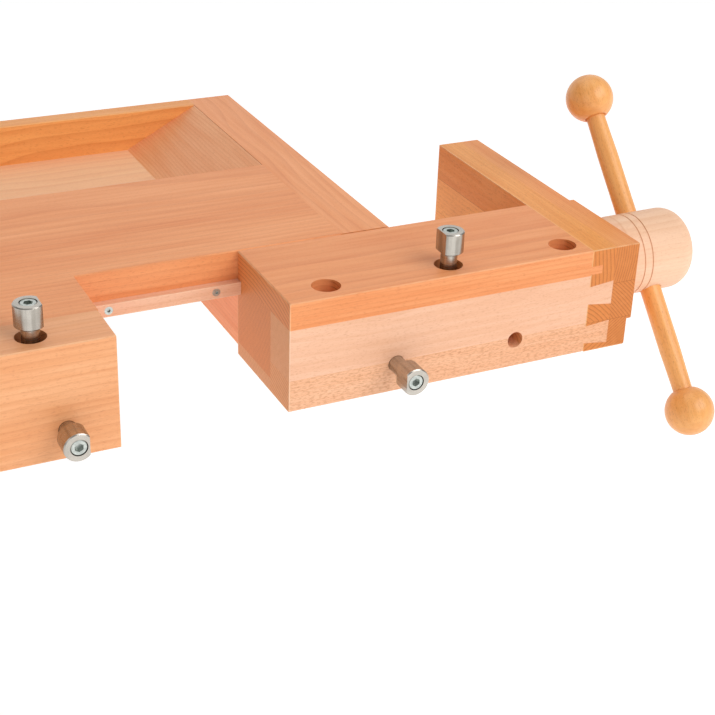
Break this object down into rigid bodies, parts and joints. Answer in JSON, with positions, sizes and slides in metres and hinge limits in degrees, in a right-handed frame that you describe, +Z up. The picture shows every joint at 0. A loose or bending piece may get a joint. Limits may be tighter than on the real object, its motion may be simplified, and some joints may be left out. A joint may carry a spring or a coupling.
{
  "type": "bench tail vise",
  "caption": "Wooden workbench tail vise with its bench end section: dovetailed sliding block, screw with turned hub and ball-ended handle, round steel bench dogs and chip tray.",
  "frame": {"origin": "middle of the two bolt holes in the underside of the bearer", "axes": "+X along the bench towards the vise's handle, +Y from the front face to the back rail, +Z up"},
  "size_m": [0.8265, 0.6983, 0.335],
  "materials": {
    "beech_bench": "oiled, satin",
    "beech_pale": "oiled, satin",
    "beech_flecked": "oiled, satin",
    "beech_cover": "oiled, satin",
    "beech_end": "oiled, satin",
    "beech_end_piece": "oiled, satin",
    "beech_hub": "turned, satin",
    "beech_handle": "lacquered, semi-gloss",
    "steel_satin": "turned, satin",
    "steel_zinc": "zinc plated",
    "steel_ground": "ground",
    "cast_iron": "as cast, machined bore",
    "bronze": "machined",
    "rubber": "matt"
  },
  "bodies": {
    "bench": {"front_rail": "beech_bench", "top_slab": "beech_bench", "fixed_jaw": "beech_bench", "tray_floor": "beech_bench", "tray_ramp": "beech_bench", "back_rail": "beech_end", "end_cap": "beech_end", "end_cap_bolts": "steel_zinc", "barrel_nuts": "steel_zinc", "bearer": "beech_end", "bearer_screws": "steel_zinc", "tray_screws": "steel_zinc", "guide_bushes": "bronze", "guide_rail": "beech_bench", "guide_rail_screws": "steel_zinc", "screw_nut": "cast_iron", "nut_screws": "steel_zinc"},
    "vise": {"cover_board": "beech_cover", "strip_middle": "beech_pale", "strip_lower": "beech_flecked", "jaw_head": "beech_bench", "guide_board": "beech_bench", "end_piece_inner": "beech_end_piece", "end_piece_outer": "beech_end_piece", "thrust_washers": "bronze", "guide_rod": "steel_ground", "rod_bolt": "steel_zinc", "rod_washer": "steel_zinc"},
    "screw": {"spindle": "steel_ground", "retaining_collar": "steel_ground", "collar_pin": "steel_zinc", "hub": "beech_hub", "hub_pin": "steel_zinc", "handle_ring": "rubber"},
    "handle": {"handle_bar": "beech_handle", "ball_upper": "beech_handle", "ball_lower": "beech_handle"},
    "vise_top_dog_stem": {"vise_top_dog_stem": "steel_satin", "vise_top_dog_rings": "rubber", "vise_top_dog_screw": "steel_zinc"},
    "vise_top_dog_head": {"vise_top_dog_head": "steel_satin"},
    "bench_top_dog_stem": {"bench_top_dog_stem": "steel_satin", "bench_top_dog_rings": "rubber", "bench_top_dog_screw": "steel_zinc"},
    "bench_top_dog_head": {"bench_top_dog_head": "steel_satin"},
    "vise_front_dog_stem": {"vise_front_dog_stem": "steel_satin", "vise_front_dog_rings": "rubber", "vise_front_dog_screw": "steel_zinc"},
    "vise_front_dog_head": {"vise_front_dog_head": "steel_satin"},
    "bench_front_dog_stem": {"bench_front_dog_stem": "steel_satin", "bench_front_dog_rings": "rubber", "bench_front_dog_screw": "steel_zinc"},
    "bench_front_dog_head": {"bench_front_dog_head": "steel_satin"}
  },
  "joints": [
    {"name": "vise_slide", "type": "slide", "parent": "bench", "child": "vise", "axis": [1, 0, 0], "range_m": [-0.1721, 0.0371]},
    {"name": "screw_turn", "type": "hinge", "parent": "vise", "child": "screw", "pos_m": [0.365, -0.3013, 0.0735], "axis": [1, 0, 0], "range_deg": [-10320, 2220]},
    {"name": "handle_slide", "type": "slide", "parent": "screw", "child": "handle", "axis": [0, 0.6704, 0.742], "range_m": [-0.114, 0.114]},
    {"name": "vise_top_dog_slide", "type": "slide", "parent": "vise", "child": "vise_top_dog_stem", "axis": [0, 0, 1], "range_m": [-0.0385, 0.045]},
    {"name": "vise_top_dog_swivel", "type": "hinge", "parent": "vise_top_dog_stem", "child": "vise_top_dog_head", "pos_m": [0.1451, -0.34215, 0.135], "axis": [0, 0, 1], "continuous": true},
    {"name": "bench_top_dog_slide", "type": "slide", "parent": "bench", "child": "bench_top_dog_stem", "axis": [0, 0, 1], "range_m": [-0.0355, 0.045]},
    {"name": "bench_top_dog_swivel", "type": "hinge", "parent": "bench_top_dog_stem", "child": "bench_top_dog_head", "pos_m": [-0.2889, -0.34215, 0.132], "axis": [0, 0, 1], "continuous": true},
    {"name": "vise_front_dog_slide", "type": "slide", "parent": "vise", "child": "vise_front_dog_stem", "axis": [0, -1, 0], "range_m": [-0.0207, 0.03]},
    {"name": "vise_front_dog_swivel", "type": "hinge", "parent": "vise_front_dog_stem", "child": "vise_front_dog_head", "pos_m": [0.076, -0.39, 0.0318], "axis": [0, -1, 0], "continuous": true},
    {"name": "bench_front_dog_slide", "type": "slide", "parent": "bench", "child": "bench_front_dog_stem", "axis": [0, -1, 0], "range_m": [-0.0137, 0.03]},
    {"name": "bench_front_dog_swivel", "type": "hinge", "parent": "bench_front_dog_stem", "child": "bench_front_dog_head", "pos_m": [-0.2669, -0.383, 0.0318], "axis": [0, -1, 0], "continuous": true}
  ],
  "couplings": [
    {"joint": "vise_slide", "follows": "screw_turn", "m_per_rad": 0.00095493}
  ]
}
